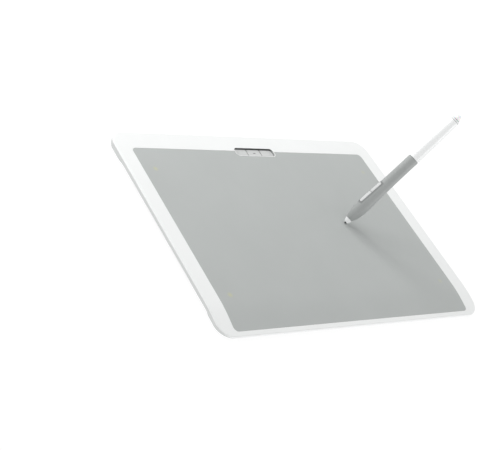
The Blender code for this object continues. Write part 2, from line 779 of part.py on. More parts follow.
on_pen(
    turned(
        "pen_rear_barrel",
        [
            (3.95, 82.4), (3.95, 89.5), (5.50, 89.5), (5.65, 89.7), (5.65, 104.0), (5.58, 113.0), (5.38, 126.0),
            (5.10, 137.0), (4.98, 141.6), (4.80, 141.9), (1.9, 141.9), (1.9, 139.4), (3.1, 138.9), (3.1, 82.4),
        ],
        WHITE,
        ring=True,
    )
)
on_pen(turned("pen_end_ring", [(1.9, 142.2), (4.9, 142.2), (4.75, 143.7), (1.9, 143.7)], ((0.42, 0.44, 0.44), 0.4, 0.0), ring=True))
on_pen(
    turned(
        "pen_eraser",
        [
            (0.0, 131.0), (1.5, 131.0), (1.5, 144.3), (3.9, 144.3), (3.55, 145.2), (3.05, 146.0), (2.85, 147.4),
            (2.35, 148.7), (1.3, 149.35), (0.0, 149.5),
        ],
        ((0.74, 0.76, 0.76), 0.45, 0.0),
    ),
    144.3,
)
on_pen(turned("pen_coil", [(1.2, 9.9), (2.85, 9.9), (2.85, 21.2), (1.2, 21.2)], ((0.45, 0.22, 0.08), 0.4, 0.6), segments=20, ring=True))
on_pen(turned("pen_pressure_sensor", [(0.0, 22.3), (2.8, 22.3), (2.8, 25.6), (0.0, 25.6)], STEEL, segments=20))
strip = rounded(-3.0, 3.0, 26.2, 80.0, 0.6, 2)
m = len(strip)
pts = [(1.9, y, z) for y, z in strip] + [(2.7, y, z) for y, z in strip]
fcs = [tuple(range(m)), tuple(range(2 * m - 1, m - 1, -1))]
fcs += [(i, m + i, m + (i + 1) % m, (i + 1) % m) for i in range(m)]
on_pen(make("pen_board", pts, fcs, PCB, smooth=False))
on_pen(turned("pen_eraser_sensor", [(0.0, 123.6), (2.6, 123.6), (2.6, 130.2), (0.0, 130.2)], STEEL, segments=20))
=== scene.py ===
"""Looks of the pen drawing tablet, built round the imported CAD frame."""

import math

import bmesh
import bpy
from mathutils import Matrix, Vector


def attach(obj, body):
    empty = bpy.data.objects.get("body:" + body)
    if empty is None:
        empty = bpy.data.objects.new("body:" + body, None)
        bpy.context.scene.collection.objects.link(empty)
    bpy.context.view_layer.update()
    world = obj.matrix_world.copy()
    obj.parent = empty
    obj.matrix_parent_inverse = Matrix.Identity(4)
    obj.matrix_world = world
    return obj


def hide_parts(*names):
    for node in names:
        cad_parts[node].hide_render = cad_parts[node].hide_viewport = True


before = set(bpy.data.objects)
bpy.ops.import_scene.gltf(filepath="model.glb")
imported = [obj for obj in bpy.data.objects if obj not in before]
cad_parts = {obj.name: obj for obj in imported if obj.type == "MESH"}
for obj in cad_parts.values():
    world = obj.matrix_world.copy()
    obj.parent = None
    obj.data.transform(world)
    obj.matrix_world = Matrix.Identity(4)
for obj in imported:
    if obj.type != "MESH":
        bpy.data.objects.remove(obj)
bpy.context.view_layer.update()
MM = 0.001

# --------------------------------------------------------------- dimensions
# The same driving dimensions as the CAD model, in millimetres.
HALF_W, HALF_D, CORNER_R = 160.6, 117.15, 15.5
TOP_Z, BELLY_Z = 8.0, 0.5
OPEN_X, OPEN_REAR, OPEN_FRONT, OPEN_R = 144.5, 96.85, -112.33, 4.5
BEND_START, BEND_LEN, BEND_SLOPE = -80.5, 20.5, 0.156
SHEET_T, SHEET_DROP = 0.5, 0.1
LEDGE_Z, LEDGE_W = 7.2, 5.0
WALL, EDGE_R, EDGE_H, SEAM, GAP = 1.5, 1.2, 1.1, 4.2, 0.3
FILLET_W, EDGE_POWER, LAND, RIM_INSET, FLOOR_Z = 10.9, 3.6, 0.6, 0.6, 1.7
GROOVE_REAR, GROOVE_FRONT, GROOVE_W = (89.0, 65.0), (-85.0, -92.0), (13.4, 8.4)
KEY_X, KEY_Y0, KEY_Y1, KEY_R, KEY_RIM = 24.2, 90.75, 100.95, 3.5, 0.7
KEY_SPLIT, KEY_SLIT, KEY_MID, KEY_TOP = 8.35, 0.9, 95.85, 6.5
LIGHTS = ((-131.2, 70.7), (131.2, 70.7), (-131.2, -76.8), (131.2, -76.8))
PORT_Z, PORT_W, PORT_H, PORT_L, PORT_Y0 = 3.6, 8.94, 3.26, 7.5, 106.3
FOOT_POS = {
    "foot_rear_left": (-135.5, 102.0, 14.0, 14.0),
    "foot_rear_right": (135.5, 102.0, 14.0, 14.0),
    "foot_front_left": (-135.5, -96.0, 14.0, 14.0),
    "foot_front_right": (135.5, -96.0, 14.0, 14.0),
    "foot_rear_middle": (0.0, 106.3, 14.0, 9.0),
}
SCREWS = ((-135.5, 102.0), (135.5, 102.0))
FOOT_R, FOOT_T, FOOT_RECESS_Z = 3.0, 0.9, 1.2
PEN_TIP, PEN_DIR, PEN_TIP_GAP = (55.54, 0.65), (0.5447, 0.1475, 0.8256), 0.27
PEN_FACING = (-0.768, 0.484, 0.420)
axis = Vector(PEN_DIR).normalized()
tip = Vector((PEN_TIP[0], PEN_TIP[1], TOP_Z - SHEET_DROP + PEN_TIP_GAP)) * MM
facing = Vector(PEN_FACING)
facing = (facing - facing.dot(axis) * axis).normalized()
across = axis.cross(facing)


# ------------------------------------------------------------ node materials
class Nodes:
    """A small helper that adds and joins shader nodes."""

    def __init__(self, name):
        self.mat = bpy.data.materials.new(name)
        self.mat.use_nodes = True
        self.tree = self.mat.node_tree
        self.shader = self.tree.nodes["Principled BSDF"]
        self.coord = self.add("ShaderNodeTexCoord")

    def add(self, kind, **values):
        node = self.tree.nodes.new(kind)
        for key, value in values.items():
            if hasattr(node, key):
                setattr(node, key, value)
            else:
                node.inputs[key].default_value = value
        return node

    def link(self, a, b):
        self.tree.links.new(a, b)

    def noise(self, scale, detail=2.0, rough=0.5, vector=None):
        node = self.add("ShaderNodeTexNoise")
        node.inputs["Scale"].default_value = scale
        node.inputs["Detail"].default_value = detail
        node.inputs["Roughness"].default_value = rough
        self.link(vector or self.coord.outputs["Object"], node.inputs["Vector"])
        return node.outputs["Fac"]

    def mapped(self, scale, rotation=(0, 0, 0)):
        node = self.add("ShaderNodeMapping")
        node.inputs["Scale"].default_value = scale
        node.inputs["Rotation"].default_value = rotation
        self.link(self.coord.outputs["Object"], node.inputs["Vector"])
        return node.outputs["Vector"]

    def spread(self, fac, low, high, start=0.3, end=0.7):
        node = self.add("ShaderNodeMapRange")
        node.inputs["From Min"].default_value = start
        node.inputs["From Max"].default_value = end
        node.inputs["To Min"].default_value = low
        node.inputs["To Max"].default_value = high
        self.link(fac, node.inputs["Value"])
        return node.outputs["Result"]

    def mix(self, fac, a, b):
        node = self.add("ShaderNodeMix", data_type="RGBA")
        self.link(fac, node.inputs["Factor"])
        for socket, value in (("A", a), ("B", b)):
            target = [i for i in node.inputs if i.name == socket and i.type == "RGBA"][0]
            if isinstance(value, tuple):
                target.default_value = (*value, 1.0)
            else:
                self.link(value, target)
        return [o for o in node.outputs if o.type == "RGBA"][0]

    def bump(self, height, strength, distance, after=None):
        node = self.add("ShaderNodeBump")
        node.inputs["Strength"].default_value = strength
        node.inputs["Distance"].default_value = distance
        self.link(height, node.inputs["Height"])
        if after is not None:
            self.link(after, node.inputs["Normal"])
        return node.outputs["Normal"]

    def math(self, operation, a, b=None):
        node = self.add("ShaderNodeMath", operation=operation)
        for i, value in enumerate((a, b)):
            if value is None:
                continue
            if isinstance(value, (int, float)):
                node.inputs[i].default_value = value
            else:
                self.link(value, node.inputs[i])
        return node.outputs[0]

    def set(self, **values):
        for key, value in values.items():
            self.shader.inputs[key.replace("_", " ")].default_value = value

    def out(self, key, socket):
        self.link(socket, self.shader.inputs[key])


def plastic(name, color, rough, grain=2200.0, grain_depth=0.02, cloud=0.02, rough_spread=0.06, **extra):
    """Moulded plastic: faint clouding of the colour, uneven gloss and a fine moulded grain."""
    n = Nodes(name)
    dark = tuple(c * (1 - cloud) for c in color)
    light = tuple(min(c * (1 + cloud), 1.0) for c in color)
    n.out("Base Color", n.mix(n.spread(n.noise(28.0, 3.0), 0.0, 1.0), dark, light))
    n.out("Roughness", n.spread(n.noise(90.0, 4.0, 0.6), rough - rough_spread, rough + rough_spread))
    fine = n.bump(n.noise(grain, 2.0, 0.6), 0.35, grain_depth * MM)
    n.out("Normal", fine)
    n.set(**extra)
    return n.mat


def metal(name, color, rough, brush=(1.0, 1.0, 1.0), brush_scale=600.0, depth=0.01, **extra):
    """Metal with a fine directional finish and slightly uneven gloss."""
    n = Nodes(name)
    lines = n.noise(brush_scale, 3.0, 0.6, n.mapped(brush))
    dark = tuple(c * 0.94 for c in color)
    n.out("Base Color", n.mix(n.spread(lines, 0.0, 1.0), dark, color))
    n.out("Roughness", n.spread(n.noise(40.0, 3.0), rough * 0.85, rough * 1.15))
    n.out("Normal", n.bump(lines, 0.25, depth * MM))
    n.set(Metallic=1.0, **extra)
    return n.mat


def circuit(name):
    """Solder mask with copper traces showing through and bare pads."""
    n = Nodes(name)
    wave = n.add("ShaderNodeTexBrick")
    wave.inputs["Scale"].default_value = 240.0
    wave.inputs["Color1"].default_value = (0.012, 0.075, 0.035, 1)
    wave.inputs["Color2"].default_value = (0.016, 0.095, 0.045, 1)
    wave.inputs["Mortar"].default_value = (0.03, 0.16, 0.07, 1)
    wave.inputs["Mortar Size"].default_value = 0.03
    n.link(n.coord.outputs["Object"], wave.inputs["Vector"])
    cell = n.add("ShaderNodeTexVoronoi")
    cell.inputs["Scale"].default_value = 420.0
    n.link(n.coord.outputs["Object"], cell.inputs["Vector"])
    pads = n.spread(cell.outputs["Distance"], 1.0, 0.0, 0.16, 0.2)
    n.out("Base Color", n.mix(pads, wave.outputs["Color"], (0.55, 0.36, 0.12)))
    n.out("Metallic", pads)
    n.out("Roughness", n.spread(n.noise(120.0, 3.0), 0.32, 0.48))
    n.out("Normal", n.bump(wave.outputs["Fac"], 0.3, 0.03 * MM))
    return n.mat


MARK_LEFT, MARK_RIGHT = 0.42, 0.20


def sheet_material():
    """The drawing sheet: matt film with a fine even tooth, a soft sheen and faint nib polish."""
    n = Nodes("drawing_sheet")
    base, other = (0.430, 0.449, 0.441), (0.444, 0.464, 0.456)
    film = n.mix(n.spread(n.noise(18.0, 4.0, 0.6), 0.0, 1.0), base, other)
    # The four corner marks shine through the film as soft pale spots.
    part = n.add("ShaderNodeSeparateXYZ")
    n.link(n.coord.outputs["Object"], part.inputs["Vector"])
    lit = 0.0
    for x, y in LIGHTS:
        dx, dy = n.math("SUBTRACT", part.outputs[0], x * MM), n.math("SUBTRACT", part.outputs[1], y * MM)
        away = n.math("SQRT", n.math("ADD", n.math("MULTIPLY", dx, dx), n.math("MULTIPLY", dy, dy)))
        lit = n.math("MAXIMUM", n.spread(away, MARK_LEFT if x < 0 else MARK_RIGHT, 0.0, 0.6 * MM, 3.3 * MM), lit)
    n.out("Base Color", n.mix(lit, film, (0.56, 0.56, 0.24)))
    n.out("Emission Color", n.mix(lit, (0.0, 0.0, 0.0), (0.03, 0.03, 0.01)))
    n.set(Emission_Strength=0.5)
    polish = n.noise(35.0, 5.0, 0.65, n.mapped((1.0, 0.5, 1.0), (0, 0, 0.5)))
    n.out("Roughness", n.spread(polish, 0.50, 0.60))
    tooth = n.noise(5200.0, 1.0, 0.5)
    n.out("Normal", n.bump(tooth, 0.30, 0.02 * MM))
    n.set(Specular_IOR_Level=0.45)
    return n.mat


def cover_material():
    """Satin silver back cover: fine blasted metal-look finish."""
    n = Nodes("silver_cover")
    grain = n.noise(3000.0, 2.0, 0.6)
    n.out("Base Color", n.mix(n.spread(grain, 0.0, 1.0), (0.60, 0.615, 0.61), (0.66, 0.675, 0.67)))
    n.out("Roughness", n.spread(n.noise(30.0, 3.0), 0.24, 0.30))
    n.out("Normal", n.bump(grain, 0.2, 0.012 * MM))
    n.set(Metallic=1.0)
    return n.mat


def rubber(name, color, rough=0.75):
    n = Nodes(name)
    dark = tuple(c * 0.9 for c in color)
    n.out("Base Color", n.mix(n.spread(n.noise(300.0, 4.0, 0.7), 0.0, 1.0), dark, color))
    n.out("Roughness", n.spread(n.noise(500.0, 3.0), rough - 0.08, rough + 0.08))
    n.out("Normal", n.bump(n.noise(2400.0, 2.0), 0.5, 0.05 * MM))
    return n.mat


def soft_touch():
    """The pen's soft-touch coating: matt, with a slight sheen and rubbed spots."""
    n = Nodes("pen_soft_touch")
    coat = n.mix(n.spread(n.noise(60.0, 4.0, 0.6), 0.0, 1.0), (0.33, 0.345, 0.34), (0.36, 0.375, 0.37))
    # Painted shade: the coating is darker in a band round the button slot, standing in for the shadow in and beside
    # the slot.
    away = []
    for direction in (facing, across, axis):
        dot = n.add("ShaderNodeVectorMath", operation="DOT_PRODUCT")
        n.link(n.coord.outputs["Object"], dot.inputs[0])
        dot.inputs[1].default_value = tuple(direction)
        away.append(n.math("SUBTRACT", dot.outputs["Value"], tip.dot(direction)))
    beyond = n.math("MAXIMUM", n.math("SUBTRACT", n.math("ABSOLUTE", n.math("SUBTRACT", away[2], 38.15 * MM)), 13.35 * MM), 0.0)
    beside = n.math("MAXIMUM", n.math("SUBTRACT", n.math("ABSOLUTE", away[1]), 2.3 * MM), 0.0)
    away_from_slot = n.math("SQRT", n.math("ADD", n.math("MULTIPLY", beyond, beyond), n.math("MULTIPLY", beside, beside)))
    shade = n.math("MULTIPLY", n.spread(away_from_slot, 1.0, 0.0, 0.7 * MM, 2.0 * MM), n.math("GREATER_THAN", away[0], 0.0))
    n.out("Base Color", n.mix(shade, coat, (0.21, 0.22, 0.217)))
    n.out("Roughness", n.spread(n.noise(140.0, 4.0, 0.6), 0.34, 0.44))
    n.out("Normal", n.bump(n.noise(3200.0, 2.0), 0.3, 0.02 * MM))
    n.set(Specular_IOR_Level=0.5, Sheen_Weight=0.15, Sheen_Roughness=0.4)
    return n.mat


def winding():
    n = Nodes("coil_winding")
    band = n.add("ShaderNodeTexWave")
    band.bands_direction = "DIAGONAL"
    band.inputs["Scale"].default_value = 900.0
    n.link(n.coord.outputs["Object"], band.inputs["Vector"])
    n.out("Base Color", n.mix(band.outputs["Fac"], (0.30, 0.11, 0.03), (0.62, 0.28, 0.09)))
    n.out("Roughness", n.spread(n.noise(300.0), 0.3, 0.4))
    n.out("Normal", n.bump(band.outputs["Fac"], 0.6, 0.05 * MM))
    n.set(Metallic=0.8)
    return n.mat


def glow():
    """The light guides' ends: pale amber, lit from below."""
    n = Nodes("corner_glow")
    n.out("Base Color", n.mix(n.spread(n.noise(900.0), 0.0, 1.0), (0.62, 0.58, 0.30), (0.70, 0.66, 0.38)))
    n.out("Roughness", n.spread(n.noise(700.0), 0.35, 0.45))
    n.set(Emission_Color=(0.80, 0.74, 0.42, 1.0), Emission_Strength=0.12)
    return n.mat


def frame_material():
    """White moulded frame with painted shade: its key well below the rim is painted dark, darkest at the rear wall,
    and its side walls are painted greyer.
    """
    n = Nodes("white_frame")
    body = n.mix(n.spread(n.noise(28.0, 3.0), 0.0, 1.0), FRAME_DARK, FRAME_LIGHT)
    part = n.add("ShaderNodeSeparateXYZ")
    n.link(n.coord.outputs["Object"], part.inputs["Vector"])
    x, y, z = part.outputs
    inside = n.math("LESS_THAN", n.math("ABSOLUTE", x), (KEY_X + 0.2) * MM)
    inside = n.math("MULTIPLY", inside, n.math("LESS_THAN", n.math("ABSOLUTE", n.math("SUBTRACT", y, (KEY_Y0 + KEY_Y1) / 2 * MM)), ((KEY_Y1 - KEY_Y0) / 2 + 0.2) * MM))
    inside = n.math("MULTIPLY", inside, n.math("LESS_THAN", z, (TOP_Z - 0.12) * MM))
    # Painted shade in the key well: mid grey at the front, near black at the rear wall, where the wall's shadow falls.
    well_shade = n.mix(n.spread(y, 0.0, 1.0, (KEY_Y1 - 3.0) * MM, (KEY_Y1 - 0.3) * MM), (0.50, 0.51, 0.505), (0.10, 0.105, 0.103))
    # Painted shade: the side walls, picked out by their normals, are drawn greyer than the top, as if less lit.
    turn = n.add("ShaderNodeSeparateXYZ")
    n.link(n.coord.outputs["Normal"], turn.inputs["Vector"])
    wall = n.math("MULTIPLY", n.spread(turn.outputs[2], 1.0, 0.0, 0.10, 0.50), n.spread(n.math("ABSOLUTE", turn.outputs[0]), 0.0, 1.0, 0.30, 0.75))
    body = n.mix(wall, body, (0.60, 0.615, 0.61))
    n.out("Base Color", n.mix(inside, body, well_shade))
    n.out("Roughness", n.spread(n.noise(90.0, 4.0, 0.6), 0.28, 0.40))
    n.out("Normal", n.bump(n.noise(2200.0, 2.0, 0.6), 0.35, 0.02 * MM))
    n.set(Coat_Weight=0.12, Coat_Roughness=0.25)
    return n.mat


FRAME_DARK, FRAME_LIGHT = (0.845, 0.858, 0.853), (0.86, 0.873, 0.868)
WHITE = frame_material()
PEN_WHITE = plastic("white_pen", (0.86, 0.87, 0.87), 0.26, cloud=0.008, grain=3000.0, grain_depth=0.008, Coat_Weight=0.2, Coat_Roughness=0.15)
KEYS = plastic("key_plastic", (0.60, 0.61, 0.605), 0.38, grain=3600.0, cloud=0.015)
BUTTONS = plastic("pen_button_plastic", (0.60, 0.61, 0.61), 0.22, grain=3600.0, grain_depth=0.008, cloud=0.01, Coat_Weight=0.3, Coat_Roughness=0.12)
RING = plastic("end_ring_plastic", (0.80, 0.815, 0.81), 0.35, grain=3000.0)
ERASER = plastic("eraser_plastic", (0.86, 0.875, 0.875), 0.30, grain=1800.0, Subsurface_Weight=0.2)
NIB = plastic("nib_plastic", (0.035, 0.036, 0.036), 0.45, grain=2600.0, cloud=0.2)
BLACK = plastic("inner_black", (0.03, 0.03, 0.032), 0.55, grain=1500.0, cloud=0.15)
SILICONE = plastic("silicone_mat", (0.075, 0.078, 0.077), 0.6, cloud=0.08)
FEET = rubber("foot_rubber", (0.34, 0.385, 0.365))
SHEET = sheet_material()
COVER = cover_material()
GRIP = soft_touch()
PCB = circuit("circuit_board")
STEEL = metal("steel", (0.56, 0.57, 0.58), 0.28, (1, 8, 1))
FOIL = metal("shield_foil", (0.60, 0.61, 0.63), 0.38, (6, 1, 1))
POUCH = metal("battery_pouch", (0.52, 0.54, 0.56), 0.32, (1, 1, 1), 90.0, 0.08)
FLEX = plastic("flex_film", (0.45, 0.22, 0.05), 0.3, grain=800.0, cloud=0.1)
COIL = winding()
GLOW = glow()


# ------------------------------------------------------------------- meshes
def finish_mesh(obj, mat, angle=35.0):
    mesh = obj.data
    mesh.materials.clear()
    mesh.materials.append(mat)
    mesh.shade_smooth()
    mesh.set_sharp_from_angle(angle=math.radians(angle))
    return obj


def place(obj, body):
    """Fixes the shading normals so that flat faces stay flat, then joins the piece to its body."""
    even = obj.modifiers.new("even_normals", "WEIGHTED_NORMAL")
    even.mode, even.weight, even.keep_sharp = "FACE_AREA", 50, True
    graph = bpy.context.evaluated_depsgraph_get()
    mesh = bpy.data.meshes.new_from_object(obj.evaluated_get(graph))
    obj.modifiers.clear()
    obj.data = mesh
    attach(obj, body)


def make(name, points, faces, mat=None, angle=35.0, unit=MM):
    mesh = bpy.data.meshes.new(name)
    mesh.from_pydata([(x * unit, y * unit, z * unit) for x, y, z in points], [], faces)
    bm = bmesh.new()
    bm.from_mesh(mesh)
    bmesh.ops.remove_doubles(bm, verts=bm.verts, dist=1e-7)
    bmesh.ops.recalc_face_normals(bm, faces=bm.faces)
    bm.to_mesh(mesh)
    bm.free()
    obj = bpy.data.objects.new(name, mesh)
    bpy.context.scene.collection.objects.link(obj)
    if mat:
        finish_mesh(obj, mat, angle)
    return obj


def combine(obj, tools, mat, angle=35.0):
    """Applies (tool, operation) Booleans and removes the tools."""
    for tool, operation in tools:
        mod = obj.modifiers.new(tool.name, "BOOLEAN")
        mod.operation, mod.solver, mod.object = operation, "EXACT", tool
    graph = bpy.context.evaluated_depsgraph_get()
    mesh = bpy.data.meshes.new_from_object(obj.evaluated_get(graph))
    obj.modifiers.clear()
    obj.data = mesh
    for tool, _ in tools:
        if tool.name in bpy.data.objects:
            bpy.data.objects.remove(tool)
    bm = bmesh.new()
    bm.from_mesh(mesh)
    bmesh.ops.remove_doubles(bm, verts=bm.verts, dist=2e-6)
    bmesh.ops.dissolve_degenerate(bm, edges=bm.edges, dist=1e-6)
    bm.to_mesh(mesh)
    bm.free()
    return finish_mesh(obj, mat, angle)


def rounded(x0, x1, y0, y1, r, n=12):
    out = []
    for cx, cy, start in ((x1 - r, y1 - r, 0), (x0 + r, y1 - r, 90), (x0 + r, y0 + r, 180), (x1 - r, y0 + r, 270)):
        for i in range(n + 1):
            a = math.radians(start + 90.0 * i / n)
            out.append((cx + r * math.cos(a), cy + r * math.sin(a)))
    return out


def circle(cx, cy, r, n=32):
    return [(cx + r * math.cos(2 * math.pi * i / n), cy + r * math.sin(2 * math.pi * i / n)) for i in range(n)]


def stacked(name, rings, mat=None, angle=35.0):
    n = len(rings[0])
    points = [p for ring in rings for p in ring]
    faces = [tuple(range(n - 1, -1, -1))]
    for k in range(len(rings) - 1):
        a, b = k * n, (k + 1) * n
        faces += [(a + i, a + (i + 1) % n, b + (i + 1) % n, b + i) for i in range(n)]
    faces.append(tuple(range((len(rings) - 1) * n, len(rings) * n)))
    return make(name, points, faces, mat, angle)


def prism(name, outline, z0, z1):
    return stacked(name, [[(x, y, z0) for x, y in outline], [(x, y, z1) for x, y in outline]])


def ring_solid(name, rings, mat=None, angle=35.0):
    n = len(rings[0])
    points = [p for ring in rings for p in ring]
    faces = []
    for k in range(len(rings)):
        a, b = k * n, ((k + 1) % len(rings)) * n
        faces += [(a + i, a + (i + 1) % n, b + (i + 1) % n, b + i) for i in range(n)]
    return make(name, points, faces, mat, angle)


def drop(y):
    s = BEND_START - y
    if s <= 0:
        return 0.0
    if s < BEND_LEN:
        return BEND_SLOPE * s * s / (2 * BEND_LEN)
    return BEND_SLOPE * (s - BEND_LEN / 2)


def top(y, below=0.0):
    return TOP_Z - below - drop(y)


def squeezed(z, y):
    return BELLY_Z + (z - BELLY_Z) * (top(y) - BELLY_Z) / (TOP_Z - BELLY_Z)


def above_floor(z, y, lowest=2.1):
    return max(z - drop(y), lowest)


SIDE_Y = sorted(
    {-94.0 + 0.6 * i for i in range(17)}
    | {BEND_START - BEND_LEN * i / 12 for i in range(13)}
    | {-40.0, -20.0, 0.0, 20.0, 40.0, 55.0, 60.0, 63.0}
    | {65.0 + 1.5 * i for i in range(17)}
)
END_X = [-130.0, -90.0, -60.0, -30.0, -12.0, 12.0, 30.0, 60.0, 90.0, 130.0]
CORNER_N = 20


def loop(dx, dy_rear, dy_front, r, height, side=None):
    x1, y1, y0 = HALF_W - dx, HALF_D - dy_rear, -HALF_D + dy_front
    extra = side or (lambda y: 0.0)
    out = [(x1 - extra(y), y) for y in SIDE_Y]
    for cx, cy, start in ((x1 - r, y1 - r, 0.0), (-x1 + r, y1 - r, 90.0)):
        if start == 90.0:
            out += [(x, y1) for x in reversed(END_X)]
        for i in range(CORNER_N + 1):
            a = math.radians(start + 90.0 * i / CORNER_N)
            out.append((cx + r * math.cos(a), cy + r * math.sin(a)))
    out += [(-x1 + extra(y), y) for y in reversed(SIDE_Y)]
    for cx, cy, start in ((-x1 + r, y0 + r, 180.0), (x1 - r, y0 + r, 270.0)):
        if start == 270.0:
            out += [(x, y0) for x in END_X]
        for i in range(CORNER_N + 1):
            a = math.radians(start + 90.0 * i / CORNER_N)
            out.append((cx + r * math.cos(a), cy + r * math.sin(a)))
    return [(x, y, height(x, y)) for x, y in out]


def even(d, height, side=None):
    return loop(d, d, d, CORNER_R - d, height, side)


def along_y(name, outline, y0, y1, z):
    n = len(outline)
    points = [(x, y0, z + h) for x, h in outline] + [(x, y1, z + h) for x, h in outline]
    faces = [tuple(range(n)), tuple(range(2 * n - 1, n - 1, -1))]
    faces += [(i, n + i, n + (i + 1) % n, (i + 1) % n) for i in range(n)]
    return make(name, points, faces)


def port_rings(w, h, steps):
    """Rings along Y of a stadium that is (grow, y) wider at each step."""
    out = []
    for grow, y in steps:
        r = (h + grow) / 2 - 0.02
        out.append([(x, y, PORT_Z + z) for x, z in rounded(-(w + grow) / 2, (w + grow) / 2, -(h + grow) / 2, (h + grow) / 2, r, 10)])
    return out


# ---------------------------------------------------------------- top frame
def frame_rings():
    rings, steps = [], 14
    for i in range(steps + 1):
        a = math.radians(90.0 * i / steps)
        inset, z = EDGE_R * (1 - math.sin(a)), TOP_Z - EDGE_H * (1 - math.cos(a))
        rings.append(even(inset, lambda x, y, z=z: squeezed(z, y)))
    for inset, z in ((0.0, 5.0), (0.03, 4.78), (0.11, 4.62)):
        rings.append(even(inset, lambda x, y, z=z: squeezed(z, y)))
    rings.append(even(0.25, lambda x, y: squeezed(SEAM, y) + GAP))
    rings.append(even(2.3, lambda x, y: squeezed(SEAM, y) + GAP))
    rings.append(even(2.9, lambda x, y: above_floor(TOP_Z - WALL, y, squeezed(SEAM, y) + GAP + 0.05)))
    side, rear, front = HALF_W - OPEN_X, HALF_D - OPEN_REAR, OPEN_FRONT + HALF_D
    rings.append(loop(side - 2.0, rear - 2.0, front - 1.6, OPEN_R + 2.0, lambda x, y: above_floor(TOP_Z - WALL, y)))
    rings.append(loop(side - 1.4, rear - 1.4, front - 1.2, OPEN_R + 1.4, lambda x, y: above_floor(5.8, y)))
    inner = [side + LEDGE_W, rear + LEDGE_W, front + LEDGE_W, 2.0]
    rings.append(loop(*inner, lambda x, y: above_floor(5.8, y)))
    rings.append(loop(*inner, lambda x, y: LEDGE_Z - drop(y)))
    rings.append(loop(side, rear, front, OPEN_R, lambda x, y: LEDGE_Z - drop(y)))
    # A small radius where the bezel meets the sheet.
    for i in range(4):
        a = math.radians(90.0 * i / 3)
        d = 0.18 * (1 - math.cos(a))
        rings.append(loop(side - d, rear - d, front - d, OPEN_R + d, lambda x, y, a=a: top(y) - 0.18 * (1 - math.sin(a))))
    return rings


def flared(name, x0, x1, y0, y1, r, z0, z1, lip, up=True):
    """A prism whose top edge flares outward by lip, to cut a rounded rim."""
    rings = []
    steps = [(0.0, z0), (0.0, z1 - lip)] + [
        (lip * (1 - math.cos(math.radians(90.0 * i / 4))), z1 - lip + lip * math.sin(math.radians(90.0 * i / 4))) for i in range(1, 5)
    ]
    steps.append((lip, z1 + 1.0))
    for grow, z in steps:
        rings.append([(x, y, z) for x, y in rounded(x0 - grow, x1 + grow, y0 - grow, y1 + grow, r + grow)])
    return stacked(name, rings)


top_frame = ring_solid("frame_shell", frame_rings())
tools = [
    (
        prism(
            "t_surround",
            rounded(-KEY_X - KEY_RIM, KEY_X + KEY_RIM, KEY_Y0 - KEY_RIM, KEY_Y1 + 1.6, KEY_R + KEY_RIM),
            5.0,
            TOP_Z,
        ),
        "UNION",
    )
]
tools += [(prism("t_post%d" % i, circle(x, y, 3.0), 3.5, 7.0), "UNION") for i, (x, y) in enumerate(SCREWS)]
tools.append((flared("t_well", -KEY_X, KEY_X, KEY_Y0, KEY_Y1, KEY_R, 4.0, TOP_Z, 0.28), "DIFFERENCE"))
tools.append((stacked("t_port", port_rings(PORT_W + 1.0, PORT_H + 1.0, ((0, 100.0), (0, 116.9), (0.5, 117.4), (1.2, 119.0)))), "DIFFERENCE"))
tools += [(prism("t_thread%d" % i, circle(x, y, 1.15, 20), 3.0, 6.2), "DIFFERENCE") for i, (x, y) in enumerate(SCREWS)]
combine(top_frame, tools, WHITE, 30.0)
place(top_frame, "tablet")
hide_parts("top_frame")


# --------------------------------------------------------------- back cover
def smooth(t):
    t = min(max(t, 0.0), 1.0)
    return t * t * (3 - 2 * t)


def groove(y):
    return smooth((GROOVE_REAR[0] - y) / (GROOVE_REAR[0] - GROOVE_REAR[1])) * smooth(
        (y - GROOVE_FRONT[1]) / (GROOVE_FRONT[0] - GROOVE_FRONT[1])
    )


def groove_width(y):
    t = (GROOVE_REAR[1] - y) / (GROOVE_REAR[1] - GROOVE_FRONT[0])
    return GROOVE_W[0] + (GROOVE_W[1] - GROOVE_W[0]) * min(max(t, 0.0), 1.0)


def on_side(x, y):
    return abs(x) > HALF_W - CORNER_R and SIDE_Y[0] - 0.01 <= y <= SIDE_Y[-1] + 0.01


def edge_height(y):
    return squeezed(SEAM, y)


def land(y):
    return LAND * (edge_height(y) - BELLY_Z) / (SEAM - BELLY_Z)


def cover_ring(angle):
    a = math.radians(angle)
    inward = 1 - max(math.cos(a), 0.0) ** (2 / EDGE_POWER)
    down = math.sin(a) ** (2 / EDGE_POWER)

    def side(y):
        w = groove(y)
        wide = FILLET_W + w * (groove_width(y) - FILLET_W)
        return (1 - w) * wide * inward + w * wide * math.sin(a) - FILLET_W * inward

    def height(x, y):
        lift = edge_height(y) - land(y) - BELLY_Z
        w = groove(y) if on_side(x, y) else 0.0
        return BELLY_Z + lift * ((1 - w) * (1 - down) + w * math.cos(a))

    d = RIM_INSET + FILLET_W * inward
    return loop(d, d, d, CORNER_R - d, height, side)


def pocket_side(y):
    return groove(y) * (groove_width(y) - FILLET_W)


